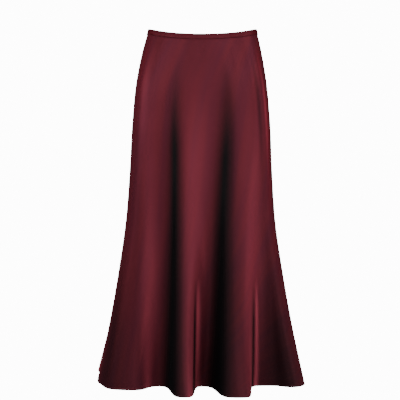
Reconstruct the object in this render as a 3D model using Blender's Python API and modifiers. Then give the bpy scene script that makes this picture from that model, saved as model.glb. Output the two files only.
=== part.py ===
"""A mermaid fishtail skirt in satin, standing open as it does round a wearer.

The skirt is cut as one front and two back panels with a narrow band round the waist. It closes
at the centre back with a concealed zip. Close over the hips, it flares from the knee into deep
flutes. Metres, +Z up, front towards -Y. The origin is the centre of the waist opening.
"""

import math
from collections import namedtuple

import bmesh
import bpy
import numpy as np
from mathutils import Matrix

# Lengths of the garment
HEM_DROP = 0.845  # hem below the waist edge at the side and back
FRONT_DIP = 0.0205  # the waist edge is cut this much lower at the centre front
DIP_SHARPNESS = 1.8  # above 1 the dip keeps nearer the centre front
CLOTH = 0.0015
BAND = 0.012  # height of the waist band
BAND_THICK = 0.002
BAND_PROUD = 0.0004  # how far the band stands out over the panels
SEAM_GAP = 0.0003  # between any two pieces that are sewn together
PANEL_ROWS = 20
ZIP_LENGTH = 0.190
TAPE_WIDTH = 0.011
TAPE_THICK = 0.001
TAPE_DEPTH = 0.0021  # tape's outer face inside the form, clear of the band and the panels

# The body of the skirt, by its drop below the waist: half its width, how far the front and the
# back stand from the middle, how square the ring is, and how far it hangs to one side.
Section = namedtuple("Section", "drop half_width front back square sway")
SECTIONS = (
    Section(0.000, 0.1295, 0.088, 0.096, 0.03, 0.0000),
    Section(0.060, 0.1440, 0.100, 0.112, 0.05, -0.0015),
    Section(0.120, 0.1550, 0.108, 0.124, 0.07, -0.0025),
    Section(0.220, 0.1648, 0.112, 0.130, 0.08, -0.0030),
    Section(0.340, 0.1707, 0.110, 0.124, 0.08, -0.0040),
    Section(0.460, 0.1796, 0.104, 0.116, 0.08, -0.0050),
    Section(0.580, 0.1970, 0.096, 0.110, 0.08, -0.0050),
    Section(0.700, 0.2183, 0.085, 0.104, 0.08, -0.0050),
    Section(HEM_DROP, 0.2495, 0.073, 0.098, 0.08, -0.0050),
)

# The flutes, in degrees round the skirt: 0 is the centre front and 90 the +X side. Each has its
# middle, half its width and the softness of its two walls, at the waist and at the hem. It grows
# from its start down to its reach at the hem, towards its heading.
Flute = namedtuple(
    "Flute",
    "at_top at_hem half_top half_hem first_top first_hem last_top last_hem reach heading start",
)
FLUTES = (
    Flute(-9.6, -7.7, 8.4, 4.9, 4.0, 1.5, 8.0, 1.2, 0.128, 3, 0.03),
    Flute(32.0, 13.2, 13.0, 7.3, 5.2, 1.9, 9.0, 1.3, 0.131, 3, 0.00),
    Flute(82.0, 73.5, 26.0, 33.0, 5.0, 6.0, 8.0, 8.0, 0.034, 0, 0.00),
    Flute(128.0, 132.0, 16.0, 11.0, 6.0, 3.0, 6.0, 3.5, 0.085, 158, 0.10),
    Flute(168.0, 166.0, 14.0, 7.5, 5.5, 2.0, 5.5, 2.2, 0.118, 177, 0.04),
    Flute(-158.0, -163.0, 15.0, 9.0, 6.0, 2.4, 5.5, 2.0, 0.110, -176, 0.02),
    Flute(-118.0, -128.0, 18.0, 13.0, 6.0, 4.0, 6.0, 3.0, 0.078, -160, 0.15),
    Flute(-60.0, -39.0, 18.0, 16.2, 6.0, 9.0, 9.0, 3.4, 0.057, 0, 0.20),
)
FLUTE_GROWTH = 2.0
LAST_WALL_SHARPENS = 3.0  # a flute's last wall stays soft until near the hem

# The panels between the side seams and the centre back seam; the wearer's left is +X
Panel = namedtuple("Panel", "name first last columns band_columns")
PANELS = (
    Panel("front", -90, 90, 46, 32),
    Panel("back_left", 90, 180, 24, 16),
    Panel("back_right", -180, -90, 24, 16),
)

# The zip's slider and pull tab, on an axis that runs across the skirt
SLIDER_DROP = 0.007
SLIDER_WIDTH = 0.005
SLIDER_HEIGHT = 0.009
SLIDER_PLATE = 0.0012
BRIDGE_WIDTH = 0.0016
BRIDGE_OUTER = 0.0021
BRIDGE_BORE = 0.00115
HINGE_RISE = 0.0024  # the pull's axis above the back of the slider
PULL_LENGTH = 0.020
PULL_WIDTH = 0.0046
PULL_TIP_WIDTH = 0.0056
PULL_THICK = 0.0012
EYE_HALF_WIDTH = 0.00125
EYE_LENGTH = 0.0026


def smooth_through(stations, values, at):
    """A smooth curve through the values at the stations, read at the given places."""
    xs = np.asarray(stations, float)
    ys = np.asarray(values, float)
    at = np.clip(at, xs[0], xs[-1])
    gaps = np.diff(xs)
    slopes = np.diff(ys) / gaps
    inner = (slopes[:-1] * gaps[1:] + slopes[1:] * gaps[:-1]) / (gaps[1:] + gaps[:-1])
    tangents = np.concatenate([slopes[:1], inner, slopes[-1:]])
    i = np.clip(np.searchsorted(xs, at, side="right") - 1, 0, len(gaps) - 1)
    t = (at - xs[i]) / gaps[i]
    return (
        ys[i] * (1 + 2 * t) * (1 - t) ** 2
        + ys[i + 1] * t**2 * (3 - 2 * t)
        + gaps[i] * tangents[i] * t * (1 - t) ** 2
        + gaps[i] * tangents[i + 1] * t**2 * (t - 1)
    )


def section_value(column, drop):
    stations = [section.drop for section in SECTIONS]
    return smooth_through(stations, [getattr(section, column) for section in SECTIONS], drop)


def wall(distance):
    """0 well before a flute's wall and 1 well past it, with long soft ends as satin falls."""
    return 0.5 + 0.5 * distance / np.sqrt(1 + distance**2)


def form_point(angle, drop):
    """The outside of the skirt, at an angle round it in degrees and a drop below the waist."""
    turn = np.radians(angle)
    square = section_value("square", drop)
    out_x = (np.sin(turn) + square * np.sin(3 * turn)) / (1 - square)
    out_y = (np.cos(turn) - square * np.cos(3 * turn)) / (1 - square)
    reach_y = np.where(np.cos(turn) > 0, section_value("front", drop), section_value("back", drop))
    x = section_value("half_width", drop) * out_x + section_value("sway", drop)
    y = -reach_y * out_y
    share = drop / HEM_DROP
    for flute in FLUTES:
        grown = np.clip((drop - flute.start) / (HEM_DROP - flute.start), 0, 1) ** FLUTE_GROWTH
        middle = flute.at_top + (flute.at_hem - flute.at_top) * share
        half = flute.half_top + (flute.half_hem - flute.half_top) * share
        first = flute.first_top + (flute.first_hem - flute.first_top) * share
        last = flute.last_top + (flute.last_hem - flute.last_top) * share**LAST_WALL_SHARPENS
        away = (angle - middle + 180) % 360 - 180
        push = flute.reach * grown * wall((away + half) / first) * wall((half - away) / last)
        x = x + push * math.sin(math.radians(flute.heading))
        y = y - push * math.cos(math.radians(flute.heading))
    return np.stack(np.broadcast_arrays(x, y, -drop), axis=-1)


def waist_drop(angle):
    """How far the waist edge is cut below the origin: a soft dip at the centre front."""
    return FRONT_DIP * np.clip(np.cos(np.radians(angle)), 0, 1) ** DIP_SHARPNESS


def offset_points(angle, drop, outward):
    """The form moved out along its own normal."""
    step_angle, step_drop = 0.05, 0.0005
    here = form_point(angle, drop)
    along = form_point(angle + step_angle, drop) - form_point(angle - step_angle, drop)
    down = form_point(angle, drop + step_drop) - form_point(angle, drop - step_drop)
    normal = np.cross(down, along)
    return here + outward * normal / np.linalg.norm(normal, axis=-1, keepdims=True)


def even_angles(first, last, columns, drop):
    """Angles that part the cloth evenly between two seams, as measured along it at one drop."""
    fine = np.linspace(first, last, 40 * columns + 1)
    points = form_point(fine, np.full_like(fine, drop))
    run = np.concatenate([[0], np.cumsum(np.linalg.norm(np.diff(points, axis=0), axis=1))])
    return np.interp(np.linspace(0, run[-1], columns + 1), run, fine)


def draw_in_edges(points, amount):
    """Draws a grid's first and last columns in, so that the next piece clears it at the seam."""
    for edge, neighbour in ((0, 1), (-1, -2)):
        inward = points[:, neighbour] - points[:, edge]
        points[:, edge] += amount * inward / np.linalg.norm(inward, axis=-1, keepdims=True)
    return points


def material(name, colour, roughness, metallic=0.0):
    made = bpy.data.materials.new(name)
    made.use_nodes = True
    shader = made.node_tree.nodes["Principled BSDF"]
    shader.inputs["Base Color"].default_value = (*colour, 1.0)
    shader.inputs["Roughness"].default_value = roughness
    shader.inputs["Metallic"].default_value = metallic
    return made


def add_object(name, data, finish):
    obj = bpy.data.objects.new(name, data)
    if finish:
        obj.data.materials.append(finish)
    collection.objects.link(obj)
    return obj


def cloth_piece(name, points, thickness, finish):
    """A grid of points, rows from the top down, as an open sheet with Solidify behind it."""
    rows, columns = points.shape[0] - 1, points.shape[1] - 1
    sheet = bmesh.new()
    bmesh.ops.create_grid(sheet, x_segments=columns, y_segments=rows, size=0.5)
    for vertex in sheet.verts:
        column = round((vertex.co.x + 0.5) * columns)
        row = round((0.5 - vertex.co.y) * rows)
        vertex.co = points[row, column]
    mesh = bpy.data.meshes.new(name)
    sheet.to_mesh(mesh)
    sheet.free()
    mesh.shade_smooth()
    obj = add_object(name, mesh, finish)
    solidify = obj.modifiers.new("cloth", "SOLIDIFY")
    solidify.thickness = thickness
    solidify.offset = -1
    solidify.use_even_offset = True
    return obj


def make_panel(panel, finish):
    angles = even_angles(panel.first, panel.last, panel.columns, HEM_DROP)
    top = waist_drop(angles) + BAND + SEAM_GAP
    shares = np.linspace(0, 1, PANEL_ROWS + 1)[:, None]
    drops = top + (HEM_DROP - top) * shares
    points = form_point(np.broadcast_to(angles, drops.shape), drops)
    cloth_piece(f"{panel.name}_panel", draw_in_edges(points, SEAM_GAP / 2), CLOTH, finish)


def make_band(panel, finish):
    angles = even_angles(panel.first, panel.last, panel.band_columns, 0.0)
    drops = waist_drop(angles) + np.array([[0.0], [BAND]])
    points = offset_points(np.broadcast_to(angles, drops.shape), drops, BAND_PROUD)
    name = f"waistband_{panel.name}"
    cloth_piece(name, draw_in_edges(points, SEAM_GAP / 2), BAND_THICK, finish)


def make_tape(name, side, finish):
    """One zip tape, inside the centre back, on the +X or the -X side."""
    drops = np.linspace(0.001, ZIP_LENGTH, 9)[:, None]
    square = section_value("square", drops)
    metres_per_radian = section_value("half_width", drops) * (1 + 3 * square) / (1 - square)
    inner, outer = SEAM_GAP, SEAM_GAP + TAPE_WIDTH
    across = np.linspace(outer, inner, 4) if side > 0 else -np.linspace(inner, outer, 4)
    angles = 180.0 - np.degrees(across / metres_per_radian)
    points = offset_points(angles, np.broadcast_to(drops, angles.shape), -TAPE_DEPTH)
    cloth_piece(name, points, TAPE_THICK, finish)


def zip_frame():
    """Where the slider sits: on the band at the centre back, and leaning as the band leans."""
    drops = np.array([SLIDER_DROP - 0.004, SLIDER_DROP, SLIDER_DROP + 0.004])
    high, middle, low = offset_points(np.full(3, 180.0), drops, BAND_PROUD)
    lean = math.atan2(low[1] - high[1], high[2] - low[2])
    return Matrix.Translation(middle) @ Matrix.Rotation(lean, 4, "X")


def box_mesh(width, depth, height):
    shape = bmesh.new()
    bmesh.ops.create_cube(shape, size=1.0, matrix=Matrix.Diagonal((width, depth, height, 1)))
    return shape


def cylinder_mesh(radius, length, segments):
    """A cylinder along X."""
    shape = bmesh.new()
    bmesh.ops.create_cone(
        shape,
        cap_ends=True,
        segments=segments,
        radius1=radius,
        radius2=radius,
        depth=length,
        matrix=Matrix.Rotation(math.pi / 2, 4, "Y"),
    )
    return shape


def object_from(name, shape, finish=None):
    mesh = bpy.data.meshes.new(name)
    shape.to_mesh(mesh)
    shape.free()
    return add_object(name, mesh, finish)


def as_helper(obj):
    obj.hide_render = True
    obj.display_type = "WIRE"
    collection.objects.unlink(obj)
    cutters.objects.link(obj)


def combine(obj, other, operation):
    boolean = obj.modifiers.new(operation.lower(), "BOOLEAN")
    boolean.object = other
    boolean.operation = operation
    as_helper(other)


def make_slider(finish):
    """A small plate with a round bridge on it, bored along X for the pull's top bar."""
    place = zip_frame() @ Matrix.Translation((0, SEAM_GAP, 0))
    plate = object_from(
        "zip_slider", box_mesh(SLIDER_WIDTH, SLIDER_PLATE, SLIDER_HEIGHT), finish
    )
    plate.matrix_world = place @ Matrix.Translation((0, SLIDER_PLATE / 2, 0))
    rounding = plate.modifiers.new("edges", "BEVEL")
    rounding.width = 0.0004
    rounding.segments = 2
    axis = place @ Matrix.Translation((0, HINGE_RISE, 0))
    bridge = object_from("slider_bridge", cylinder_mesh(BRIDGE_OUTER, BRIDGE_WIDTH, 24))
    bore = object_from("slider_bore", cylinder_mesh(BRIDGE_BORE, 3 * BRIDGE_WIDTH, 20))
    bridge.matrix_world = axis
    bore.matrix_world = axis
    combine(plate, bridge, "UNION")
    combine(plate, bore, "DIFFERENCE")
    return axis


def add_outline(curve, corners):
    spline = curve.splines.new("POLY")
    spline.points.add(len(corners) - 1)
    for point, corner in zip(spline.points, corners):
        point.co = (*corner, 0, 1)
    spline.use_cyclic_u = True


def make_pull(axis, finish):
    """A teardrop tab with an eye at its top, whose top bar turns in the slider's bridge."""
    curve = bpy.data.curves.new("zip_pull", "CURVE")
    curve.dimensions = "2D"
    curve.fill_mode = "BOTH"
    curve.extrude = PULL_THICK / 2
    bar = PULL_THICK / 2
    tip_radius = PULL_TIP_WIDTH / 2
    tip_centre = -PULL_LENGTH + tip_radius
    tip = [
        (-tip_radius * math.cos(turn), tip_centre - tip_radius * math.sin(turn))
        for turn in np.linspace(0, math.pi, 13)
    ]
    add_outline(curve, [(-PULL_WIDTH / 2, bar), *tip, (PULL_WIDTH / 2, bar)])
    add_outline(
        curve,
        [
            (-EYE_HALF_WIDTH, -bar),
            (-EYE_HALF_WIDTH, -bar - EYE_LENGTH),
            (EYE_HALF_WIDTH, -bar - EYE_LENGTH),
            (EYE_HALF_WIDTH, -bar),
        ],
    )
    pull = add_object("zip_pull", curve, finish)
    pull.matrix_world = axis @ Matrix.Rotation(math.pi / 2, 4, "X")


for old in list(bpy.data.objects):
    bpy.data.objects.remove(old, do_unlink=True)
collection = bpy.data.collections.new("mermaid_fishtail_skirt")
cutters = bpy.data.collections.new("cutters")
bpy.context.scene.collection.children.link(collection)
bpy.context.scene.collection.children.link(cutters)

satin = material("wine_satin", (0.105, 0.014, 0.021), 0.38)
band_satin = material("band_satin", (0.095, 0.013, 0.019), 0.42)
tape_weave = material("zip_tape", (0.070, 0.010, 0.015), 0.8)
enamelled_metal = material("enamelled_metal", (0.120, 0.018, 0.026), 0.3, 0.6)

for piece in PANELS:
    make_panel(piece, satin)
    make_band(piece, band_satin)
make_tape("zip_tape_left", 1, tape_weave)
make_tape("zip_tape_right", -1, tape_weave)
make_pull(make_slider(enamelled_metal), enamelled_metal)
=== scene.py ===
import math
from collections import namedtuple

import bpy
import numpy as np
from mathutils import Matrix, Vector


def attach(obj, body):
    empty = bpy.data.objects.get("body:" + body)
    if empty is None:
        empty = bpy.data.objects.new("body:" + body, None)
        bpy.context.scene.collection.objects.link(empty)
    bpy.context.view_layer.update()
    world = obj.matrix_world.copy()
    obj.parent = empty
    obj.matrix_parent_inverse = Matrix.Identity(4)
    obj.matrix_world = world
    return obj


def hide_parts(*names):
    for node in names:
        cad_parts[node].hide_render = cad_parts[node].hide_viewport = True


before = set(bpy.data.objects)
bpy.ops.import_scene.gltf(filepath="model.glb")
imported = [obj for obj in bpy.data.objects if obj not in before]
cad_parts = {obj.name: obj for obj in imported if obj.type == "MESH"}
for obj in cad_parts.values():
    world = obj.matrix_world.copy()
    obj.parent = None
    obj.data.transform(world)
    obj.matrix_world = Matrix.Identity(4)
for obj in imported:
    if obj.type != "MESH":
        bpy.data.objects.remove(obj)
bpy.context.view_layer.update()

# ---------------------------------------------------------------------------------------------
# The front panel and the two back panels
# Polyester satin, dyed wine red: long floats shine on its face, and its back is dull. The panels
# are sewn together at the sides and the centre back, with the seams pressed open inside, and the
# lower edge is turned up as a narrow hem. The cloth flares below the knee into eight flutes.
# ---------------------------------------------------------------------------------------------
# Every piece lies on one form, by its angle round the skirt (0 is the centre front and 90 the
# wearer's left side, at +X) and its drop below the waist edge.
HEM_DROP = 0.845
FRONT_DIP = 0.0205  # how far the waist edge dips at the centre front
DIP_SHARPNESS = 1.8

# Half the width and the reach to the front and to the back, then how far the corners are filled
# out and how far the whole section sways towards +X
Section = namedtuple("Section", "drop half_width front back square sway")
SECTIONS = (
    Section(0.000, 0.1295, 0.088, 0.096, 0.03, 0.0000),
    Section(0.060, 0.1440, 0.100, 0.112, 0.05, -0.0015),
    Section(0.120, 0.1550, 0.108, 0.124, 0.07, -0.0025),
    Section(0.220, 0.1648, 0.112, 0.130, 0.08, -0.0030),
    Section(0.340, 0.1707, 0.110, 0.124, 0.08, -0.0040),
    Section(0.460, 0.1796, 0.104, 0.116, 0.08, -0.0050),
    Section(0.580, 0.1970, 0.096, 0.110, 0.08, -0.0050),
    Section(0.700, 0.2183, 0.085, 0.104, 0.08, -0.0050),
    Section(HEM_DROP, 0.2495, 0.073, 0.098, 0.08, -0.0050),
)

# Each flute's middle, half its width, and the softness of its first and last walls, in degrees at
# the waist and at the hem; then how far it stands out at the hem, which way, and where it starts
Flute = namedtuple(
    "Flute",
    "at_top at_hem half_top half_hem first_top first_hem last_top last_hem reach heading start",
)
FLUTES = (
    Flute(-9.6, -7.7, 8.4, 4.9, 4.0, 1.5, 8.0, 1.2, 0.128, 3, 0.03),
    Flute(32.0, 13.2, 13.0, 7.3, 5.2, 1.9, 9.0, 1.3, 0.131, 3, 0.00),
    Flute(82.0, 73.5, 26.0, 33.0, 5.0, 6.0, 8.0, 8.0, 0.034, 0, 0.00),
    Flute(128.0, 132.0, 16.0, 11.0, 6.0, 3.0, 6.0, 3.5, 0.085, 158, 0.10),
    Flute(168.0, 166.0, 14.0, 7.5, 5.5, 2.0, 5.5, 2.2, 0.118, 177, 0.04),
    Flute(-158.0, -163.0, 15.0, 9.0, 6.0, 2.4, 5.5, 2.0, 0.110, -176, 0.02),
    Flute(-118.0, -128.0, 18.0, 13.0, 6.0, 4.0, 6.0, 3.0, 0.078, -160, 0.15),
    Flute(-60.0, -39.0, 18.0, 16.2, 6.0, 9.0, 9.0, 3.4, 0.057, 0, 0.20),
)
FLUTE_GROWTH = 2.0  # a flute grows faster the nearer it is to the hem
LAST_WALL_SHARPENS = 3.0  # a flute's last wall stays soft until near the hem


def smooth_through(stations, values, at):
    """A smooth curve through the values at the stations, read at the given places."""
    xs = np.asarray(stations, float)
    ys = np.asarray(values, float)
    at = np.clip(at, xs[0], xs[-1])
    gaps = np.diff(xs)
    slopes = np.diff(ys) / gaps
    inner = (slopes[:-1] * gaps[1:] + slopes[1:] * gaps[:-1]) / (gaps[1:] + gaps[:-1])
    tangents = np.concatenate([slopes[:1], inner, slopes[-1:]])
    i = np.clip(np.searchsorted(xs, at, side="right") - 1, 0, len(gaps) - 1)
    t = (at - xs[i]) / gaps[i]
    return (
        ys[i] * (1 + 2 * t) * (1 - t) ** 2
        + ys[i + 1] * t**2 * (3 - 2 * t)
        + gaps[i] * tangents[i] * t * (1 - t) ** 2
        + gaps[i] * tangents[i + 1] * t**2 * (t - 1)
    )


def section_value(column, drop):
    stations = [section.drop for section in SECTIONS]
    return smooth_through(stations, [getattr(section, column) for section in SECTIONS], drop)


def between(top, hem, share):
    """A value that changes evenly from the waist to the hem."""
    return top + (hem - top) * share


def degrees_past(middle, angle):
    """How far an angle is past the middle, from -180 to 180 degrees."""
    return (angle - middle + 180) % 360 - 180


def wall(distance):
    """0 well before a flute's wall and 1 well past it, with long soft ends as satin falls."""
    return 0.5 + 0.5 * distance / np.sqrt(1 + distance**2)


def form_point(angle, drop):
    """The outside of the skirt, at an angle round it in degrees and a drop below the waist."""
    turn = np.radians(angle)
    square = section_value("square", drop)
    out_x = (np.sin(turn) + square * np.sin(3 * turn)) / (1 - square)
    out_y = (np.cos(turn) - square * np.cos(3 * turn)) / (1 - square)
    reach_y = np.where(np.cos(turn) > 0, section_value("front", drop), section_value("back", drop))
    x = section_value("half_width", drop) * out_x + section_value("sway", drop)
    y = -reach_y * out_y
    share = drop / HEM_DROP
    for flute in FLUTES:
        grown = np.clip((drop - flute.start) / (HEM_DROP - flute.start), 0, 1) ** FLUTE_GROWTH
        half = between(flute.half_top, flute.half_hem, share)
        first = between(flute.first_top, flute.first_hem, share)
        last = between(flute.last_top, flute.last_hem, share**LAST_WALL_SHARPENS)
        away = degrees_past(between(flute.at_top, flute.at_hem, share), angle)
        push = flute.reach * grown * wall((away + half) / first) * wall((half - away) / last)
        x = x + push * math.sin(math.radians(flute.heading))
        y = y - push * math.cos(math.radians(flute.heading))
    return np.stack(np.broadcast_arrays(x, y, -drop), axis=-1)


def form_normal(angle, drop):
    """The direction straight out of the cloth."""
    step_angle, step_drop = 0.05, 0.0005
    drop = np.clip(drop, step_drop, HEM_DROP - step_drop)
    along = form_point(angle + step_angle, drop) - form_point(angle - step_angle, drop)
    down = form_point(angle, drop + step_drop) - form_point(angle, drop - step_drop)
    normal = np.cross(down, along)
    return normal / np.linalg.norm(normal, axis=-1, keepdims=True)


def on_form(angle, drop, outward):
    """Points laid on the form and moved out along its own normal."""
    angle, drop, outward = np.broadcast_arrays(angle, drop, outward)
    return form_point(angle, drop) + outward[..., None] * form_normal(angle, drop)


def waist_drop(angle):
    """How far the waist edge is cut below the origin: a soft dip at the centre front."""
    return FRONT_DIP * np.clip(np.cos(np.radians(angle)), 0, 1) ** DIP_SHARPNESS


def feed(tree, socket, value):
    """Sets a socket to a value, or links another node's output to it."""
    if isinstance(value, bpy.types.NodeSocket):
        tree.links.new(value, socket)
    else:
        socket.default_value = value


def add_node(tree, kind, **settings):
    """Adds a node; settings are its properties, or with_ and the name of one of its inputs."""
    node = tree.nodes.new(kind)
    for name, value in settings.items():
        if name.startswith("with_"):
            feed(tree, node.inputs[name[5:].replace("_", " ")], value)
        else:
            setattr(node, name, value)
    return node


def add_math(tree, operation, first, second):
    """The result of a maths node on two values."""
    node = add_node(tree, "ShaderNodeMath", operation=operation)
    feed(tree, node.inputs[0], first)
    feed(tree, node.inputs[1], second)
    return node.outputs[0]


def add_noise(tree, place, detail):
    """Noise with features one unit wide, read at a place in the plane."""
    noise = add_node(tree, "ShaderNodeTexNoise", noise_dimensions="2D", with_Vector=place)
    noise.inputs["Scale"].default_value = 1.0
    noise.inputs["Detail"].default_value = detail
    return noise.outputs["Fac"]


def add_range(tree, value, low, high):
    """0 where the value is low and 1 where it is high."""
    spread = add_node(tree, "ShaderNodeMapRange", with_Value=value)
    spread.inputs["From Min"].default_value = low
    spread.inputs["From Max"].default_value = high
    return spread.outputs["Result"]


def mix_colours(tree, share, first, second):
    """The first colour where the share is 0 and the second where it is 1."""
    mix = add_node(tree, "ShaderNodeMix", data_type="RGBA", with_Factor=share)
    feed(tree, mix.inputs[6], first)
    feed(tree, mix.inputs[7], second)
    return mix.outputs[2]


def new_group(name, inputs, outputs):
    """An empty shader node group, with its named inputs and outputs."""
    group = bpy.data.node_groups.new(name, "ShaderNodeTree")
    for label, kind, value in inputs:
        socket = group.interface.new_socket(label, in_out="INPUT", socket_type=kind)
        if value is not None:
            socket.default_value = value
    for label, kind in outputs:
        group.interface.new_socket(label, in_out="OUTPUT", socket_type=kind)
    return group, group.nodes.new("NodeGroupInput"), group.nodes.new("NodeGroupOutput")


SLUBS_PER_METRE = (420.0, 9.0, 1.0)  # across the cloth, and up it
CLOUDS_PER_METRE = (34.0, 2.6, 1.0)
SLUB_DULLS = 0.05  # how much rougher a slub is


def make_weave_group():
    """Threads that run up and across the cloth, with slubs, as a height and two masks."""
    group, given, made = new_group(
        "cloth_weave",
        [
            ("Threads per metre", "NodeSocketFloat", 2600.0),
            ("Float length", "NodeSocketFloat", 6.0),
            ("Slub depth", "NodeSocketFloat", 0.5),
        ],
        [("Height", "NodeSocketFloat"), ("Slub", "NodeSocketFloat"), ("Cloud", "NodeSocketFloat")],
    )
    cloth = add_node(group, "ShaderNodeUVMap", uv_map="cloth").outputs["UV"]
    places = add_node(group, "ShaderNodeSeparateXYZ", with_Vector=cloth)
    density = given.outputs["Threads per metre"]
    across = add_math(group, "MULTIPLY", places.outputs["X"], density)
    up = add_math(group, "MULTIPLY", places.outputs["Y"], density)
    floats = add_math(group, "DIVIDE", up, given.outputs["Float length"])
    threads = add_node(group, "ShaderNodeCombineXYZ", with_X=across, with_Y=floats)
    grain = add_noise(group, threads.outputs[0], 1.0)
    long_and_thin = add_node(group, "ShaderNodeMapping", with_Vector=cloth, with_Scale=SLUBS_PER_METRE)
    slubs = add_range(group, add_noise(group, long_and_thin.outputs[0], 3.0), 0.42, 0.72)
    slub_height = add_math(group, "MULTIPLY", slubs, given.outputs["Slub depth"])
    height = add_math(group, "ADD", grain, slub_height)
    broad = add_node(group, "ShaderNodeMapping", with_Vector=cloth, with_Scale=CLOUDS_PER_METRE)
    clouds = add_range(group, add_noise(group, broad.outputs[0], 2.0), 0.34, 0.66)
    group.links.new(height, made.inputs["Height"])
    group.links.new(slubs, made.inputs["Slub"])
    group.links.new(clouds, made.inputs["Cloud"])
    return group


weave_group = make_weave_group()


def new_material(name):
    made = bpy.data.materials.new(name)
    made.use_nodes = True
    shader = made.node_tree.nodes["Principled BSDF"]
    return made, made.node_tree, shader


def set_relief(tree, shader, height, strength, distance):
    """Bump from a height; the distance is in metres."""
    relief = add_node(tree, "ShaderNodeBump", with_Height=height)
    relief.inputs["Strength"].default_value = strength
    relief.inputs["Distance"].default_value = distance
    tree.links.new(relief.outputs["Normal"], shader.inputs["Normal"])


def set_gloss(tree, shader, mask, first, second):
    """The roughness, the first where the mask is 0 and the second where it is 1."""
    gloss = add_node(tree, "ShaderNodeMapRange", with_Value=mask)
    gloss.inputs["To Min"].default_value = first
    gloss.inputs["To Max"].default_value = second
    tree.links.new(gloss.outputs["Result"], shader.inputs["Roughness"])


def cloth_material(name, colour, deeper, roughness, threads, float_length, bump, depth):
    """A woven cloth: its colour clouds slightly, and its threads catch the light."""
    made, tree, shader = new_material(name)
    weave = add_node(tree, "ShaderNodeGroup", node_tree=weave_group)
    weave.inputs["Threads per metre"].default_value = threads
    weave.inputs["Float length"].default_value = float_length
    tint = mix_colours(tree, weave.outputs["Cloud"], deeper, colour)
    tree.links.new(tint, shader.inputs["Base Color"])
    set_gloss(tree, shader, weave.outputs["Slub"], roughness, roughness + SLUB_DULLS)
    set_relief(tree, shader, weave.outputs["Height"], bump, depth)
    return made, shader


def tint_shader(tree, shader, share, colour):
    """Mixes a colour into the finish's own, where the share says."""
    plain = shader.inputs["Base Color"].links[0].from_socket
    tree.links.new(mix_colours(tree, share, plain, colour), shader.inputs["Base Color"])


# Painted shade and painted highlights: the satin's colour is darkened as painted shade on the wall
# that rises into each flute and in the crease at its other edge, and lightened as a painted highlight
# on the crest before that crease and on the lip past it; the meshes say where, as painted_fold_shade
# and painted_fold_highlight.
FACE_COLOUR = (0.140, 0.0235, 0.0340, 1.0)
FACE_DEEPER = (0.116, 0.0215, 0.0345, 1.0)
PAINTED_HIGHLIGHT_COLOUR = (0.940, 0.1450, 0.2150, 1.0)
PAINTED_SHADE_COLOUR = (0.0125, 0.0120, 0.0130, 1.0)
REVERSE_COLOUR = (0.190, 0.0270, 0.0400, 1.0)
REVERSE_DEEPER = (0.165, 0.0230, 0.0350, 1.0)
SATIN_SPECULAR = (0.17, 0.085, 0.115, 1.0)
SATIN_THREADS = 2600.0  # per metre
SATIN_FLOAT = 6.0  # each float passes over so many threads
SATIN_BUMP = 0.25
THREAD_HEIGHT = 0.0001

satin_face, face_shader = cloth_material(
    "wine_satin_face",
    FACE_COLOUR,
    FACE_DEEPER,
    roughness=0.36,
    threads=SATIN_THREADS,
    float_length=SATIN_FLOAT,
    bump=SATIN_BUMP,
    depth=THREAD_HEIGHT,
)
face_shader.inputs["Metallic"].default_value = 0.35
face_shader.inputs["Specular IOR Level"].default_value = 0.0
face_shader.inputs["Specular Tint"].default_value = SATIN_SPECULAR

# Painted shade and painted highlight, mixed into the satin's own colour where the masks say
for attribute, painted_light_colour in (("painted_fold_highlight", PAINTED_HIGHLIGHT_COLOUR), ("painted_fold_shade", PAINTED_SHADE_COLOUR)):
    painted_mask = add_node(satin_face.node_tree, "ShaderNodeAttribute", attribute_name=attribute)
    tint_shader(satin_face.node_tree, face_shader, painted_mask.outputs["Fac"], painted_light_colour)

satin_reverse, reverse_shader = cloth_material(
    "wine_satin_reverse",
    REVERSE_COLOUR,
    REVERSE_DEEPER,
    roughness=0.62,
    threads=SATIN_THREADS,
    float_length=1.0,
    bump=0.5,
    depth=THREAD_HEIGHT,
)
reverse_shader.inputs["Specular IOR Level"].default_value = 0.15

# Each panel's seams, in degrees round the skirt, how finely it is meshed across, and its cut
Panel = namedtuple("Panel", "name first last spacing flat area")
PANELS = (
    Panel("front", -90, 90, 0.0045, (1.02, 0.86), 0.515),
    Panel("back_left", 90, 180, 0.0048, (0.64, 0.87), 0.303),
    Panel("back_right", -180, -90, 0.0048, (0.59, 0.87), 0.289),
)
BAND = 0.012
TUCK = 0.0035  # the panels run this far up inside the band
SATIN = 0.0006  # as thick as the cloth is made here
HEM_TURN = 0.0065
HEM_FOLD = 0.00075  # radius of the folded edge
HEM_STITCH = 0.005  # stitch line above the hem's edge
BODY_ROWS = 150
FINE_ABOVE = 0.0015  # the rows get fine this far above the hem's turning
FINE_ROW = 0.0006
FOLD_STEPS = 6
SEAM_FOLD = 0.00065  # radius of the cloth's fold at a seam
ALLOWANCE = 0.010  # what is folded back inside each seam
TRIMMED = 0.25  # how much of the allowance is left inside the hem
TRIM_ABOVE = 0.012
ALLOWANCE_STEPS = (0.0015, 0.0035, 0.0060, 0.0085, ALLOWANCE)
SEAM_EDGE = (SEAM_FOLD, 0.0013, 0.0023, 0.0036, 0.0054, 0.0078)  # columns beside a seam, at the hem
SEAM_SINK = 0.0009  # the cloth sinks in at a seam, over twice the next width
SEAM_SOFT = 0.0026
PUCKER = 0.00030  # the height of the puckers beside a seam
PUCKER_LENGTH = 0.023
PUCKER_WIDTH = 0.006
PUCKER_UNEVEN = 0.6  # the share of a second wave that keeps the puckers uneven
UNEVEN_TURNS = 151.0  # radians of it in each metre
UNEVEN_START = 1.3
HEM_PUFF = 0.0003  # how far the turned hem stands out, and its stitches sink in
HEM_PUFF_AT = 0.0028
HEM_PUFF_WIDTH = 0.0022
STITCH_DENT = 0.0008  # half the width of the dent along a line of stitches

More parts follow.
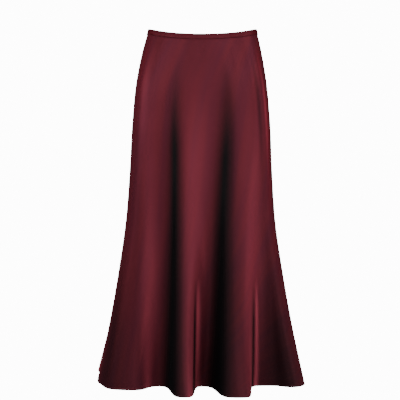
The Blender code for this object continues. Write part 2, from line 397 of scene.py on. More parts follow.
# Long faint waves in the cloth: height, waves round the skirt, and their slant and start in radians
Wave = namedtuple("Wave", "height count slant start")
WAVES = (Wave(0.40, 17, 3.1, 0.4), Wave(0.30, 29, -2.2, 1.9), Wave(0.22, 11, 7.5, 5.0))
WAVE_HEIGHT = 0.0007
WAVE_LEAST = 0.15  # the share of it that is left at the waist

# A thin line over the wearer's left hip: the cloth is drawn in, with painted shade along it and a
# painted highlight beside it
HIP_LINE = 45  # degrees round the skirt
HIP_LINE_WIDTH = 2.6
HIP_LINE_DROP = 0.20
HIP_LINE_LENGTH = 0.11
# How dark the painted shade along the line is, and how bright the painted highlight beside it
HIP_LINE_PAINTED_SHADE = 0.50
HIP_LINE_PAINTED_HIGHLIGHT = 0.20
HIP_LINE_BESIDE = 11  # degrees from the line to the painted highlight beside it

# Where the cloth is drawn in: degrees round the skirt and how many more for each metre down, half
# the width in degrees, the drop and half the length, and the depth
DragLine = namedtuple("DragLine", "at slant width drop length depth")
DRAG_LINES = (
    DragLine(-1.5, 0, 3.0, 0.050, 0.035, 0.0009),
    DragLine(-24, 60, 5.0, 0.060, 0.035, 0.0004),
    DragLine(22, 0, 3.4, 0.070, 0.055, 0.0014),
    DragLine(HIP_LINE, 0, 3.5, HIP_LINE_DROP, HIP_LINE_LENGTH, 0.0016),
)

# Painted shade and painted highlights on each flute: where the painted shade starts on the flute's
# first wall, where it is full, how deep it gets there and how far that spreads, then how bright the
# painted highlight gets on the crest, how deep the painted shade is in the crease at the flute's other
# edge, where that crease lies in degrees past the second wall's middle, and its width
Shade = namedtuple("Shade", "begins full wall spread gleam crease crease_at crease_width")
PAINTED_FOLD_LIGHT = (
    Shade(0.04, 0.30, 1.00, 1.0, 0.55, 0.95, -0.5, 0.62),
    Shade(0.04, 0.32, 1.00, 1.0, 0.55, 0.95, 0.9, 1.25),
    Shade(0.40, 0.80, 0.80, 1.0, 0.50, 0.0, 0.5, 0.50),
    Shade(0.10, 0.45, 0.75, 0.7, 0.50, 0.4, 0.5, 0.50),
    Shade(0.06, 0.36, 0.90, 0.9, 0.50, 0.6, 0.5, 0.50),
    Shade(0.04, 0.36, 0.90, 0.9, 0.50, 0.6, 0.5, 0.50),
    Shade(0.15, 0.50, 0.75, 0.7, 0.50, 0.4, 0.5, 0.50),
    Shade(0.45, 0.75, 0.60, 0.6, 0.45, 0.0, 1.2, 0.50),
)
# How far a wall's painted shade fades into the hollow before it and over the crest past it, in
# widths of the wall, and how much farther at the hem
HOLLOW_FADE = 0.85
HOLLOW_FADE_GROWS = 2.1
CREST_FADE = 1.05
CREST_FADE_GROWS = 3.2
# The painted shade in the crease, the painted highlight on the crest before it and the painted
# highlight on the lip past it each start at one drop and are full at the next
CREASE_FROM = 0.56
CREASE_FULL = 0.70
GLEAM_FROM = 0.06
GLEAM_FULL = 0.36
LIP_FROM = 0.54
LIP_FULL = 0.68
GLEAM_BEFORE = 0.8  # degrees from the painted highlight's middle to the crease
GLEAM_TOP = 13.0  # the painted highlight's half width at the waist and at the hem, in degrees
GLEAM_HEM = 1.7
GLEAM_LEAST = 0.20  # how bright the painted highlight is near the waist, as a share
LIP_PAST = 0.9  # degrees from the crease's far edge to the middle of the lip's painted highlight
LIP_WIDTH = 1.2
LIP_SHARE = 0.8  # how bright the lip's painted highlight is, as a share of the crease's painted shade


def bell(distance, width):
    """1 at no distance, fading to nothing at about twice the width."""
    return np.exp(-((distance / width) ** 2))


def spaced_angles(first, last, spacing):
    """Angles that part the cloth evenly at the hem, and more finely beside each seam."""
    fine = np.linspace(first, last, 6001)
    points = form_point(fine, np.full_like(fine, HEM_DROP))
    run = np.concatenate([[0], np.cumsum(np.linalg.norm(np.diff(points, axis=0), axis=1))])
    edge = np.array(SEAM_EDGE)
    count = round((run[-1] - 2 * edge[-1]) / spacing)
    inner = np.linspace(edge[-1], run[-1] - edge[-1], count + 1)
    places = np.concatenate([edge[:-1], inner, run[-1] - edge[-2::-1]])
    return np.interp(places, run, fine)


def metres_per_degree(angle, drop):
    step = 0.05
    apart = form_point(angle + step, drop) - form_point(angle - step, drop)
    return np.linalg.norm(apart, axis=-1) / (2 * step)


def seam_columns(seam, edge, drops):
    """Angles and offsets of the columns that fold back from a panel's edge to lie inside it."""
    turn = np.linspace(0, math.pi, FOLD_STEPS + 1)[1:]
    folded = seam + (edge - seam) * (1 - np.sin(turn))
    trim = np.clip((HEM_DROP - drops) / TRIM_ABOVE - 0.5, TRIMMED, 1)
    inward = np.sign(edge - seam) * np.array(ALLOWANCE_STEPS) * trim[:, None]
    laid = edge + inward / metres_per_degree(seam, drops)[:, None]
    angles = np.concatenate([np.broadcast_to(folded, (len(drops), len(folded))), laid], axis=1)
    flat_inside = np.full(len(ALLOWANCE_STEPS), -2 * SEAM_FOLD)
    return angles, np.concatenate([-SEAM_FOLD * (1 - np.cos(turn)), flat_inside])


def soft_ripple(angle, drop):
    """The slight unevenness of satin that hangs: long faint waves, stronger lower down."""
    low = drop / HEM_DROP
    turn = np.radians(angle)
    waves = sum(
        wave.height * np.sin(wave.count * turn + wave.slant * low + wave.start) for wave in WAVES
    )
    return WAVE_HEIGHT * (WAVE_LEAST + low) * waves


def rises(drop, begins, full):
    """0 above one drop and 1 below another, with a smooth change between them."""
    share = np.clip((drop - begins) / (full - begins), 0, 1)
    return share * share * (3 - 2 * share)


def drag_lines(angle, drop):
    """Faint lines where the cloth is drawn in below the band and over the hip."""
    drawn = 0
    for line in DRAG_LINES:
        beside = bell(angle - line.at - line.slant * drop, line.width)
        drawn = drawn + line.depth * (beside * bell(drop - line.drop, line.length))
    return -drawn * rises(drop - waist_drop(angle), BAND, 3 * BAND)


def painted_hip_line(angle, drop):
    """1 along the line over the hip, for its painted shade, and beside it for its painted highlight.
    """
    return bell(angle - HIP_LINE, HIP_LINE_WIDTH) * bell(drop - HIP_LINE_DROP, HIP_LINE_LENGTH)


def painted_shade_mask(angle, drop):
    """Painted shade: 1 on the steep wall where each flute rises, in the crease at its other edge and
    along the hip line.
    """
    share = drop / HEM_DROP
    open_face = 1 - HIP_LINE_PAINTED_SHADE * painted_hip_line(angle, drop)
    for flute, shade in zip(FLUTES, PAINTED_FOLD_LIGHT):
        half = between(flute.half_top, flute.half_hem, share)
        first = between(flute.first_top, flute.first_hem, share)
        away = degrees_past(between(flute.at_top, flute.at_hem, share), angle)
        past = (away + half) / (first * shade.spread)
        before = bell(past, HOLLOW_FADE + HOLLOW_FADE_GROWS * share**2)
        after = bell(past, CREST_FADE + CREST_FADE_GROWS * share**2)
        grown = shade.wall * rises(drop, shade.begins, shade.full)
        open_face = open_face * (1 - grown * np.where(past < 0, before, after))
        crease = bell(away - half - shade.crease_at, shade.crease_width)
        crease = crease * rises(drop, CREASE_FROM, CREASE_FULL)
        open_face = open_face * (1 - shade.crease * crease)
    return 1 - open_face


def painted_highlight_mask(angle, drop):
    """Painted highlight: 1 where a flute's crest turns over into its second wall, on the lip past its
    crease and beside the hip line.
    """
    share = drop / HEM_DROP
    gleam = HIP_LINE_PAINTED_HIGHLIGHT * painted_hip_line(angle - HIP_LINE_BESIDE, drop)
    strength = GLEAM_LEAST + (1 - GLEAM_LEAST) * share**4
    strength = strength * rises(drop, GLEAM_FROM, GLEAM_FULL)
    for flute, shade in zip(FLUTES, PAINTED_FOLD_LIGHT):
        middle = between(flute.at_top, flute.at_hem, share)
        half = between(flute.half_top, flute.half_hem, share)
        past = degrees_past(middle, angle) - half - shade.crease_at
        crest = bell(past + GLEAM_BEFORE, between(GLEAM_TOP, GLEAM_HEM, share))
        gleam = np.maximum(gleam, shade.gleam * strength * crest)
        lip = bell(past - shade.crease_width - LIP_PAST, LIP_WIDTH)
        lip = lip * rises(drop, LIP_FROM, LIP_FULL)
        gleam = np.maximum(gleam, LIP_SHARE * shade.crease * lip)
    return gleam


def panel_rows(top):
    """The drop and the offset of each row, down the face, round the fold and up inside."""
    body_end = HEM_DROP - HEM_TURN - FINE_ABOVE
    shares = np.linspace(0, 1, BODY_ROWS + 1)[:, None]
    body = top + (body_end - top) * shares
    near_hem = np.arange(body_end + 0.0010, HEM_DROP - HEM_FOLD - 0.0002, FINE_ROW)
    fold = np.linspace(0, math.pi, FOLD_STEPS + 1)
    folded = HEM_DROP - HEM_FOLD + HEM_FOLD * np.sin(fold)
    inside = np.linspace(HEM_DROP - HEM_FOLD - 0.001, HEM_DROP - HEM_TURN, 5)
    lower = np.concatenate([near_hem, folded, inside])
    drops = np.concatenate([body, np.broadcast_to(lower[:, None], (len(lower), top.size))])
    offsets = np.concatenate(
        [
            np.zeros(BODY_ROWS + 1 + len(near_hem)),
            -HEM_FOLD * (1 - np.cos(fold)),
            np.full(len(inside), -2 * HEM_FOLD),
        ]
    )
    return drops, offsets[:, None]


def grid_mesh(name, points, cloth_places):
    """A mesh of quads over a grid of points, with a map of the cloth in metres."""
    rows, columns = points.shape[:2]
    index = np.arange(rows * columns).reshape(rows, columns)
    corners = (index[:-1, :-1], index[1:, :-1], index[1:, 1:], index[:-1, 1:])
    faces = np.stack(corners, axis=-1).reshape(-1, 4)
    mesh = bpy.data.meshes.new(name)
    mesh.from_pydata(points.reshape(-1, 3).tolist(), [], faces.tolist())
    places = (
        cloth_places[:-1, :-1],
        cloth_places[1:, :-1],
        cloth_places[1:, 1:],
        cloth_places[:-1, 1:],
    )
    layer = mesh.uv_layers.new(name="cloth")
    layer.data.foreach_set("uv", np.stack(places, axis=2).astype(np.float32).ravel())
    mesh.shade_smooth()
    return mesh


def add_piece(name, mesh, *finishes):
    piece = bpy.data.objects.new(name, mesh)
    for finish in finishes:
        mesh.materials.append(finish)
    bpy.context.scene.collection.objects.link(piece)
    return piece


def give_thickness(piece, thickness):
    """The reverse of the cloth, behind its face."""
    solidify = piece.modifiers.new("thickness", "SOLIDIFY")
    solidify.thickness = thickness
    solidify.offset = -1
    solidify.material_offset = 1


def lengths_along(points, axis):
    """The distance along the lines of a grid, from their first points."""
    steps = np.linalg.norm(np.diff(points, axis=axis), axis=-1)
    shape = list(steps.shape)
    shape[axis] = 1
    return np.concatenate([np.zeros(shape), np.cumsum(steps, axis=axis)], axis=axis)


def make_panel(panel):
    angles = spaced_angles(panel.first, panel.last, panel.spacing)
    turned = FOLD_STEPS + len(ALLOWANCE_STEPS)
    first_edge = np.full(turned, panel.first)
    last_edge = np.full(turned, panel.last)
    columns = np.concatenate([first_edge, angles, last_edge])
    drops, row_offsets = panel_rows(waist_drop(columns) + BAND - TUCK)
    left_angles, turned_offsets = seam_columns(panel.first, angles[0], drops[:, 0])
    right_angles, _ = seam_columns(panel.last, angles[-1], drops[:, -1])
    inner = np.broadcast_to(angles, (len(drops), len(angles)))
    angle_grid = np.concatenate([left_angles[:, ::-1], inner, right_angles], axis=1)
    column_offsets = np.concatenate(
        [turned_offsets[::-1], np.zeros(len(angles)), turned_offsets]
    )
    flat = form_point(angle_grid, drops)
    run = lengths_along(flat, 1)
    to_first = np.abs(angle_grid - panel.first) * metres_per_degree(panel.first, drops)
    to_last = np.abs(angle_grid - panel.last) * metres_per_degree(panel.last, drops)
    to_seam = np.minimum(to_first, to_last)
    uneven = PUCKER_UNEVEN * np.sin(UNEVEN_TURNS * drops + UNEVEN_START)
    puckers = np.sin(2 * math.pi * drops / PUCKER_LENGTH) + uneven
    seam = PUCKER * puckers * bell(to_seam - PUCKER_WIDTH, PUCKER_WIDTH)
    seam = seam - SEAM_SINK * bell(to_seam, SEAM_SOFT)
    above_hem = HEM_DROP - drops
    hem = HEM_PUFF * bell(above_hem - HEM_PUFF_AT, HEM_PUFF_WIDTH)
    hem = hem - HEM_PUFF * bell(above_hem - HEM_STITCH, STITCH_DENT)
    outward = row_offsets + column_offsets + seam + hem * (row_offsets > -HEM_FOLD)
    outward = outward + soft_ripple(angle_grid, drops) + drag_lines(angle_grid, drops)
    points = on_form(angle_grid, drops, outward)
    cloth_places = np.stack([run, lengths_along(flat, 0)], axis=-1)
    mesh = grid_mesh(f"{panel.name}_panel_cloth", points, cloth_places)
    # The painted shade and painted highlight masks, kept on the mesh for the satin's colour
    for label, mask in (("painted_fold_shade", painted_shade_mask), ("painted_fold_highlight", painted_highlight_mask)):
        values = mesh.attributes.new(label, "FLOAT", "POINT").data
        values.foreach_set("value", mask(angle_grid, drops).astype(np.float32).ravel())
    piece = add_piece(mesh.name, mesh, satin_face, satin_reverse)
    give_thickness(piece, SATIN)
    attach(piece, "skirt")
    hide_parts(f"{panel.name}_panel")


for panel in PANELS:
    make_panel(panel)


# ---------------------------------------------------------------------------------------------
# The waist band
# A narrow strip of the same satin on a light interlining, folded over at the waist edge and
# edge-stitched along its seam. Three lengths, seamed at the sides, open at the centre back.
# ---------------------------------------------------------------------------------------------
BAND_PROUD = 0.0002  # how far the band stands out from the form
BAND_THICK = 0.002
BAND_LAYER = 0.0009  # the satin and its interlining
BAND_STITCH = 0.0022  # stitch line above the band's seam
BAND_ANGLE_STEP = 0.75
BAND_PUFF = 0.00025  # the band's face is fullest between its stitches and its fold
BAND_PUFF_AT = 0.0065
BAND_PUFF_WIDTH = 0.0035
BAND_DENT = 0.0001
BAND_PUCKER = 0.00012
BAND_PUCKER_LENGTH = 0.011
BAND_PUCKER_WIDTH = 0.006
BAND_SEAM_SINK = 0.0005
BAND_SEAM_SOFT = 0.0016
BAND_COLOUR = (0.122, 0.0195, 0.0285, 1.0)
BAND_DEEPER = (0.106, 0.0165, 0.0245, 1.0)

band_satin, band_shader = cloth_material(
    "wine_satin_band",
    BAND_COLOUR,
    BAND_DEEPER,
    roughness=0.42,
    threads=SATIN_THREADS,
    float_length=SATIN_FLOAT,
    bump=SATIN_BUMP,
    depth=THREAD_HEIGHT,
)
band_shader.inputs["Metallic"].default_value = 0.5
band_shader.inputs["Specular IOR Level"].default_value = 0.0
band_shader.inputs["Specular Tint"].default_value = SATIN_SPECULAR


def band_profile():
    """Drop and offset along the strip: up the band's face, over the fold and down inside."""
    radius = BAND_THICK / 2
    face = np.linspace(BAND, radius, 24)
    over = np.linspace(0, math.pi, 13)[1:-1]
    back = np.linspace(radius, BAND + 0.0005, 8)
    drops = np.concatenate([face, radius - radius * np.sin(over), back])
    from_seam = BAND - face
    stitched = BAND_DENT * bell(from_seam - BAND_STITCH, STITCH_DENT)
    outer = BAND_PROUD + BAND_PUFF * bell(from_seam - BAND_PUFF_AT, BAND_PUFF_WIDTH) - stitched
    folded = BAND_PROUD - radius * (1 - np.cos(over))
    inside = np.full(len(back), BAND_PROUD - BAND_THICK)
    return drops, np.concatenate([outer, folded, inside])


def make_band(panel):
    steps = round((panel.last - panel.first) / BAND_ANGLE_STEP)
    angles = np.linspace(panel.first, panel.last, steps + 1)
    profile_drops, profile_offsets = band_profile()
    drops = waist_drop(angles) + profile_drops[:, None]
    run = lengths_along(form_point(angles, waist_drop(angles)), 0)
    to_seam = np.minimum(run, run[-1] - run)
    puckers = BAND_PUCKER * np.sin(2 * math.pi * run / BAND_PUCKER_LENGTH)
    puckers = puckers * bell(drops - BAND, BAND_PUCKER_WIDTH)
    outward = profile_offsets[:, None] - BAND_SEAM_SINK * bell(to_seam, BAND_SEAM_SOFT) + puckers
    points = on_form(np.broadcast_to(angles, drops.shape), drops, outward)
    cloth_places = np.stack([lengths_along(points, 1), lengths_along(points, 0)], axis=-1)
    name = f"waistband_{panel.name}_cloth"
    piece = add_piece(name, grid_mesh(name, points, cloth_places), band_satin)
    give_thickness(piece, BAND_LAYER)
    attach(piece, "skirt")
    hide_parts(f"waistband_{panel.name}")


for panel in PANELS:
    make_band(panel)


# ---------------------------------------------------------------------------------------------
# The stitching
# Twisted polyester thread, matched to the satin: a row along the foot of the band, a row round
# the hem that shows on both faces, and overlocking on the raw edges inside the three seams.
# ---------------------------------------------------------------------------------------------
THREAD = 0.00017  # radius of the thread
STITCH = 0.0026
STITCH_GAP = 0.0005
OVERLOCK_STEP = 0.0014
OVERLOCK_WIDTH = 0.0028
BAND_ROW_SUNK = 0.00025  # how far the row lies below the band's face
HEM_ROW_SUNK = 0.00028
ROW_POINTS = 1500
SEAM_CLEAR = 0.25  # degrees beside a seam with no stitches
# Along one stitch: the places as shares of its length, and how high its middle lies there and how
# thick it is, in radii of the thread
STITCH_PLACES = (0.0, 0.15, 0.5, 0.85, 1.0)
STITCH_RISE = (-1.6, 0.1, 0.5, 0.1, -1.6)
STITCH_GIRTH = (0.6, 1.0, 1.0, 1.0, 0.6)
THREAD_COLOUR = (0.150, 0.0200, 0.0320, 1.0)
THREAD_DEEPER = (0.095, 0.0125, 0.0200, 1.0)


def make_grain_group():
    """A fine grain over any surface, as a mask and a height."""
    group, given, made = new_group(
        "fine_grain",
        [("Grains per metre", "NodeSocketFloat", 1500.0), ("Softness", "NodeSocketFloat", 0.5)],
        [("Mask", "NodeSocketFloat"), ("Height", "NodeSocketFloat")],
    )
    place = add_node(group, "ShaderNodeTexCoord")
    noise = add_node(group, "ShaderNodeTexNoise", with_Detail=3.0)
    group.links.new(place.outputs["Object"], noise.inputs["Vector"])
    group.links.new(given.outputs["Grains per metre"], noise.inputs["Scale"])
    group.links.new(given.outputs["Softness"], noise.inputs["Roughness"])
    group.links.new(add_range(group, noise.outputs["Fac"], 0.35, 0.65), made.inputs["Mask"])
    group.links.new(noise.outputs["Fac"], made.inputs["Height"])
    return group


grain_group = make_grain_group()


def grained_material(name, colour, deeper, rough, rougher, grains, bump, depth=0.0001):
    """A finish whose colour and gloss vary with a fine grain."""
    made, tree, shader = new_material(name)
    grain = add_node(tree, "ShaderNodeGroup", node_tree=grain_group)
    grain.inputs["Grains per metre"].default_value = grains
    tint = mix_colours(tree, grain.outputs["Mask"], deeper, colour)
    tree.links.new(tint, shader.inputs["Base Color"])
    set_gloss(tree, shader, grain.outputs["Mask"], rougher, rough)
    set_relief(tree, shader, grain.outputs["Height"], bump, depth)
    return made, shader


thread, thread_shader = grained_material(
    "wine_thread", THREAD_COLOUR, THREAD_DEEPER, rough=0.42, rougher=0.60, grains=3000.0, bump=0.5
)
thread_shader.inputs["Specular IOR Level"].default_value = 0.1


def unit(vectors):
    return vectors / np.linalg.norm(vectors, axis=-1, keepdims=True)


def tube_mesh(name, centres, outward, radii, sides):
    """Closed round tubes, one along each row of centres; outward points away from the cloth."""
    tubes, rings = centres.shape[:2]
    along = np.gradient(centres, axis=1)
    across = unit(np.cross(outward, along))
    up = unit(np.cross(along, across))
    turn = np.linspace(0, 2 * math.pi, sides, endpoint=False)[:, None]
    ring = np.cos(turn) * across[..., None, :] + np.sin(turn) * up[..., None, :]
    points = centres[..., None, :] + np.broadcast_to(radii, (tubes, rings))[..., None, None] * ring
    index = np.arange(tubes * rings * sides).reshape(tubes, rings, sides)
    beside = np.roll(index, -1, axis=2)
    corners = (index[:, :-1], beside[:, :-1], beside[:, 1:], index[:, 1:])
    faces = np.stack(corners, axis=-1).reshape(-1, 4).tolist()
    faces += index[:, 0, ::-1].tolist() + index[:, -1].tolist()
    mesh = bpy.data.meshes.new(name)
    mesh.from_pydata(points.reshape(-1, 3).tolist(), [], faces)
    mesh.shade_smooth()
    return mesh


def row_of_stitches(points, outward):
    """Centres and outward directions of the stitches that lie along a line on the cloth."""
    run = lengths_along(points, 0)
    starts = np.arange(STITCH_GAP, run[-1] - STITCH, STITCH + STITCH_GAP)
    stations = starts[:, None] + STITCH * np.array(STITCH_PLACES)
    centres = np.stack([np.interp(stations, run, points[:, i]) for i in range(3)], axis=-1)
    away = np.stack([np.interp(stations, run, outward[:, i]) for i in range(3)], axis=-1)
    lift = THREAD * np.array(STITCH_RISE)
    return centres + lift[:, None] * unit(away), unit(away)


def stitching(name, rows):
    """One piece with all the rows of stitches; a row is where its line lies and which way is out."""
    laid = [row_of_stitches(points, outward) for points, outward in rows]
    centres = np.concatenate([row[0] for row in laid])
    outward = np.concatenate([row[1] for row in laid])
    radii = THREAD * np.array(STITCH_GIRTH)
    piece = add_piece(name, tube_mesh(name, centres, outward, radii, sides=6), thread)
    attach(piece, "skirt")


def line_round(panel, drop_at, offset_at):
    """A line round one panel, with the directions out of the cloth along it."""
    angles = np.linspace(panel.first + SEAM_CLEAR, panel.last - SEAM_CLEAR, ROW_POINTS)
    drops = drop_at(angles)
    outward = offset_at(angles, drops)
    return on_form(angles, drops, outward), form_normal(angles, drops)


def band_foot(angles):
    return waist_drop(angles) + BAND - BAND_STITCH


def band_face(angles, drops):
    return BAND_PROUD - BAND_ROW_SUNK


def hem_line(angles):
    return np.full_like(angles, HEM_DROP - HEM_STITCH)


def hem_outside(angles, drops):
    return soft_ripple(angles, drops) - HEM_ROW_SUNK


def hem_inside(angles, drops):
    return soft_ripple(angles, drops) - 2 * HEM_FOLD


stitching("band_stitching", [line_round(panel, band_foot, band_face) for panel in PANELS])
outer_rows = [line_round(panel, hem_line, hem_outside) for panel in PANELS]
inner_rows = [line_round(panel, hem_line, hem_inside) for panel in PANELS]
inner_rows = [(points, -outward) for points, outward in inner_rows]
stitching("hem_stitching", outer_rows + inner_rows)


def overlocked_edge(panel, seam, inward):
    """The zigzag of thread over the raw edge of one seam allowance."""
    drops = np.arange(BAND + FRONT_DIP, HEM_DROP - TRIM_ABOVE - HEM_TURN, OVERLOCK_STEP)
    zigzag = np.where(np.arange(len(drops)) % 2, 0.0, OVERLOCK_WIDTH)
    place = ALLOWANCE + THREAD - zigzag
    angles = seam + inward * place / metres_per_degree(seam, drops)
    offset = -2 * SEAM_FOLD - THREAD + soft_ripple(angles, drops)
    return on_form(angles, drops, offset), form_normal(angles, drops)


edges = [overlocked_edge(panel, panel.first, 1) for panel in PANELS]
edges += [overlocked_edge(panel, panel.last, -1) for panel in PANELS]
edge_centres = np.stack([centres for centres, outward in edges])
edge_outward = np.stack([outward for centres, outward in edges])
overlock_mesh = tube_mesh("seam_overlocking", edge_centres, edge_outward, THREAD, sides=5)
overlocking = add_piece("seam_overlocking", overlock_mesh, thread)
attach(overlocking, "skirt")


# ---------------------------------------------------------------------------------------------
# The zip: tapes and coil
# A concealed zip in the centre back seam: two woven tapes behind the seam, with half of a nylon
# coil sewn along each tape's inner edge, so that only the slider shows from outside.
# ---------------------------------------------------------------------------------------------
ZIP_LENGTH = 0.190
TAPE_WIDTH = 0.011
TAPE_THICK = 0.001
TAPE_DEPTH = 0.0021  # how far behind the outside of the skirt the tapes lie
SEAM_GAP = 0.0003
TAPE_COLOUR = (0.085, 0.0100, 0.0165, 1.0)
TAPE_DEEPER = (0.070, 0.0085, 0.0140, 1.0)
TAPE_TOP = 0.001
COIL_COLOUR = (0.110, 0.0140, 0.0220, 1.0)
COIL_DEEPER = (0.085, 0.0105, 0.0165, 1.0)
COIL_TOP = 0.003
COIL_PITCH = 0.00130
COIL_WIRE = 0.00022
COIL_REACH = 0.00105  # half the width of the coil across the zip
COIL_HEIGHT = 0.00050
COIL_CENTRE = 0.00080  # from the middle of the zip
TURN_POINTS = 12

tape_weave, tape_shader = cloth_material(
    "zip_tape_weave",
    TAPE_COLOUR,
    TAPE_DEEPER,
    roughness=0.72,
    threads=1400.0,
    float_length=1.0,
    bump=0.8,
    depth=0.0002,
)
tape_shader.inputs["Specular IOR Level"].default_value = 0.2


def make_tape(name, side):
    drops = np.linspace(TAPE_TOP, ZIP_LENGTH, 60)[:, None]
    square = section_value("square", drops)
    metres_per_radian = section_value("half_width", drops) * (1 + 3 * square) / (1 - square)
    inner, outer = SEAM_GAP, SEAM_GAP + TAPE_WIDTH
    across = np.linspace(outer, inner, 10) if side > 0 else -np.linspace(inner, outer, 10)
    angles = 180.0 - np.degrees(across / metres_per_radian)
    drops = np.broadcast_to(drops, angles.shape)
    points = on_form(angles, drops, -TAPE_DEPTH)
    cloth_places = np.stack([lengths_along(points, 1), lengths_along(points, 0)], axis=-1)
    mesh = grid_mesh(f"{name}_cloth", points, cloth_places)
    piece = add_piece(mesh.name, mesh, tape_weave, tape_weave)
    give_thickness(piece, TAPE_THICK)
    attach(piece, "skirt")
    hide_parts(name)


make_tape("zip_tape_left", 1)
make_tape("zip_tape_right", -1)

coil_nylon, coil_shader = grained_material(
    "coil_nylon", COIL_COLOUR, COIL_DEEPER, rough=0.30, rougher=0.42, grains=1200.0, bump=0.15
)
coil_shader.inputs["Specular IOR Level"].default_value = 0.35


def make_coil(name, side):
    """Half of the zip's coil: one monofilament wound in a flattened helix along the tape."""
    turns = math.floor((ZIP_LENGTH - COIL_TOP) / COIL_PITCH) - 1
    wound = np.linspace(0, turns, turns * TURN_POINTS + 1)
    phase = 2 * math.pi * wound
    drops = COIL_TOP + COIL_PITCH * (wound + (0.5 if side < 0 else 0))
    across = side * (COIL_CENTRE - COIL_REACH * np.cos(phase))
    angles = 180.0 - across / metres_per_degree(180.0, drops)
    depth = TAPE_DEPTH + TAPE_THICK + COIL_HEIGHT + COIL_WIRE
    centres = on_form(angles, drops, COIL_HEIGHT * np.sin(phase) - depth)
    outward = np.cross(np.gradient(centres, axis=0), (0.0, 0.0, 1.0))
    mesh = tube_mesh(name, centres[None], outward[None], COIL_WIRE, sides=5)
    piece = add_piece(name, mesh, coil_nylon)
    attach(piece, "skirt")


make_coil("zip_coil_left", 1)
make_coil("zip_coil_right", -1)


# ---------------------------------------------------------------------------------------------
# The slider and its pull tab
# Die-cast zinc alloy, enamelled in the colour of the satin. The pull's top bar turns in the
# round bridge on the slider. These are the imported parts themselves, with their real finish.
# ---------------------------------------------------------------------------------------------
ENAMEL = (0.130, 0.0170, 0.0260, 1.0)
ENAMEL_DEEPER = (0.110, 0.0140, 0.0215, 1.0)
WORN_METAL = (0.42, 0.36, 0.35, 1.0)
WEAR_FROM = 0.56  # how sharp an edge is where it starts to wear, and where it is worn most
WEAR_FULL = 0.70
WEAR_SHARE = 0.25

enamel, enamel_shader = grained_material(
    "wine_enamel", ENAMEL, ENAMEL_DEEPER, rough=0.24, rougher=0.36, grains=600.0, bump=0.12
)
enamel_shape = add_node(enamel.node_tree, "ShaderNodeNewGeometry")
sharpness = enamel_shape.outputs["Pointiness"]
edges_worn = add_range(enamel.node_tree, sharpness, WEAR_FROM, WEAR_FULL)
edges_worn.node.inputs["To Max"].default_value = WEAR_SHARE
tint_shader(enamel.node_tree, enamel_shader, edges_worn, WORN_METAL)
enamel_shader.inputs["Metallic"].default_value = 0.4
enamel_shader.inputs["Specular IOR Level"].default_value = 0.3
for node_name in ("zip_slider", "zip_pull"):
    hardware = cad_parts[node_name]
    hardware.data.materials.clear()
    hardware.data.materials.append(enamel)


# ---------------------------------------------------------------------------------------------
# The studio
# A plain pale floor with a soft shadow painted under the skirt, a pale surround and soft
# boxes, with the camera level with the thigh.
# ---------------------------------------------------------------------------------------------
CAMERA_PLACE = (-0.006, -2.6, -0.3143)
CAMERA_PITCH = 87.93
LENS = 97.1
FLOOR_DROP = 1.25
FLOOR_REACH = 9.0
FLOOR_GREY = (0.20, 0.20, 0.20, 1.0)
FLOOR_PAINTED_SHADOW = 0.55  # how bright the floor's painted shadow under the skirt is, as a share
PAINTED_SHADOW_FROM = 0.2  # the painted shadow is full this far from the middle of the floor, in metres, and gone at the next
PAINTED_SHADOW_TO = 1.5
WHITE = (1.0, 1.0, 1.0, 1.0)
PALE = 13.0  # how bright the surround and the floor look
FILL = 0.12  # how much light the surround gives
AIM = -0.42  # the height that every soft box faces

# Azimuths are 0 in front of the skirt and 90 at its +X side
SoftBox = namedtuple("SoftBox", "name azimuth distance height width tall radiance")
SOFT_BOXES = (
    SoftBox("key", 28, 2.6, -0.1, 2.2, 1.2, 0.94),
    SoftBox("key_high", 28, 2.6, 1.3, 2.2, 1.2, 2.55),
    SoftBox("side", 88, 2.5, -0.1, 1.8, 1.3, 0.88),
    SoftBox("side_high", 78, 2.6, 1.3, 1.8, 1.0, 3.08),
    SoftBox("side_back", 130, 2.5, 0.2, 1.5, 1.5, 2.0),
    SoftBox("side_low", 60, 2.5, -0.9, 1.5, 0.6, 1.58),
    SoftBox("front", 8, 2.6, 0.4, 0.8, 0.8, 1.51),
    SoftBox("front_low", 0, 2.7, -0.95, 1.2, 0.5, 1.26),
    SoftBox("left_front", -30, 2.6, 0.5, 1.6, 0.8, 2.22),
    SoftBox("left_front_high", -30, 2.6, 1.5, 1.9, 0.9, 2.64),
    SoftBox("left_high", -82, 2.4, 0.75, 1.7, 0.9, 2.58),
    SoftBox("left_near", -70, 1.4, 0.1, 0.9, 0.5, 2.24),
    SoftBox("left_low", -75, 2.4, -0.2, 1.4, 0.8, 0.44),
    SoftBox("left_back", -130, 2.5, 0.5, 1.6, 1.2, 2.0),
    SoftBox("back_key", -165, 2.6, 0.9, 2.0, 2.0, 2.8),
)

camera_data = bpy.data.cameras.new("camera")
camera_data.lens = LENS
camera_data.sensor_width = 36.0
camera = bpy.data.objects.new("camera", camera_data)
camera.location = CAMERA_PLACE
camera.rotation_euler = (math.radians(CAMERA_PITCH), 0.0, 0.0)
bpy.context.scene.collection.objects.link(camera)
bpy.context.scene.camera = camera


def add_soft_box(box):
    light = bpy.data.lights.new(box.name, "AREA")
    light.shape = "RECTANGLE"
    light.size = box.width
    light.size_y = box.tall
    light.energy = box.radiance * math.pi * box.width * box.tall
    lamp = bpy.data.objects.new(box.name, light)
    turn = math.radians(box.azimuth)
    lamp.location = (box.distance * math.sin(turn), -box.distance * math.cos(turn), box.height)
    facing = Vector((0.0, 0.0, AIM)) - lamp.location
    lamp.rotation_euler = facing.to_track_quat("-Z", "Y").to_euler()
    lamp.visible_camera = False
    bpy.context.scene.collection.objects.link(lamp)


for box in SOFT_BOXES:
    add_soft_box(box)

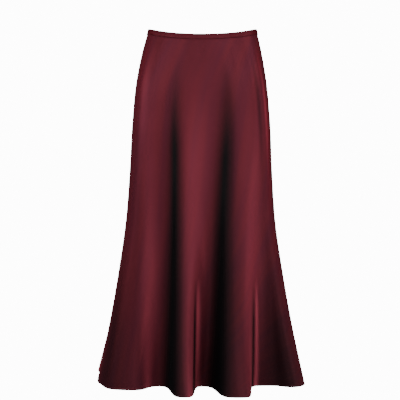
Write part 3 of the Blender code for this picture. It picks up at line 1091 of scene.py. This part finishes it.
world = bpy.data.worlds.new("surround")
bpy.context.scene.world = world
world.use_nodes = True
sky = world.node_tree
sky.nodes.clear()
ray = add_node(sky, "ShaderNodeLightPath")
dim = add_node(sky, "ShaderNodeBackground", with_Color=WHITE, with_Strength=FILL)
pale = add_node(sky, "ShaderNodeBackground", with_Color=WHITE, with_Strength=PALE)
choice = add_node(sky, "ShaderNodeMixShader", with_Fac=ray.outputs["Is Camera Ray"])
sky.links.new(dim.outputs[0], choice.inputs[1])
sky.links.new(pale.outputs[0], choice.inputs[2])
add_node(sky, "ShaderNodeOutputWorld", with_Surface=choice.outputs[0])

floor_mesh = bpy.data.meshes.new("floor")
corner_signs = ((-1, -1), (1, -1), (1, 1), (-1, 1))
floor_corners = [(FLOOR_REACH * x, FLOOR_REACH * y, 0) for x, y in corner_signs]
floor_mesh.from_pydata(floor_corners, [], [(0, 1, 2, 3)])
floor = bpy.data.objects.new("floor", floor_mesh)
floor.location = (0.0, 0.0, -FLOOR_DROP)
bpy.context.scene.collection.objects.link(floor)
floor_finish, floor_tree, floor_shader = new_material("pale_floor")
floor_shader.inputs["Base Color"].default_value = FLOOR_GREY
floor_shader.inputs["Roughness"].default_value = 0.9
floor_place = add_node(floor_tree, "ShaderNodeTexCoord")
floor_far = add_node(floor_tree, "ShaderNodeVectorMath", operation="LENGTH")
floor_tree.links.new(floor_place.outputs["Object"], floor_far.inputs[0])
# Painted shadow: the floor looks darker under the skirt, and clears with distance from the middle
floor_painted_shadow = add_node(floor_tree, "ShaderNodeMapRange", with_Value=floor_far.outputs["Value"])
floor_painted_shadow.interpolation_type = "SMOOTHSTEP"
floor_painted_shadow.inputs["From Min"].default_value = PAINTED_SHADOW_FROM
floor_painted_shadow.inputs["From Max"].default_value = PAINTED_SHADOW_TO
floor_painted_shadow.inputs["To Min"].default_value = FLOOR_PAINTED_SHADOW * PALE
floor_painted_shadow.inputs["To Max"].default_value = PALE
floor_glow = add_node(floor_tree, "ShaderNodeEmission", with_Strength=floor_painted_shadow.outputs["Result"])
floor_clear = add_node(floor_tree, "ShaderNodeBsdfTransparent")
floor_side = add_node(floor_tree, "ShaderNodeNewGeometry")
floor_seen = add_node(floor_tree, "ShaderNodeMixShader", with_Fac=floor_side.outputs["Backfacing"])
floor_tree.links.new(floor_glow.outputs[0], floor_seen.inputs[1])
floor_tree.links.new(floor_clear.outputs[0], floor_seen.inputs[2])
floor_ray = add_node(floor_tree, "ShaderNodeLightPath")
floor_all = add_node(floor_tree, "ShaderNodeMixShader", with_Fac=floor_ray.outputs["Is Camera Ray"])
floor_tree.links.new(floor_shader.outputs[0], floor_all.inputs[1])
floor_tree.links.new(floor_seen.outputs[0], floor_all.inputs[2])
floor_output = floor_tree.nodes["Material Output"]
floor_tree.links.new(floor_all.outputs[0], floor_output.inputs["Surface"])
floor_mesh.materials.append(floor_finish)
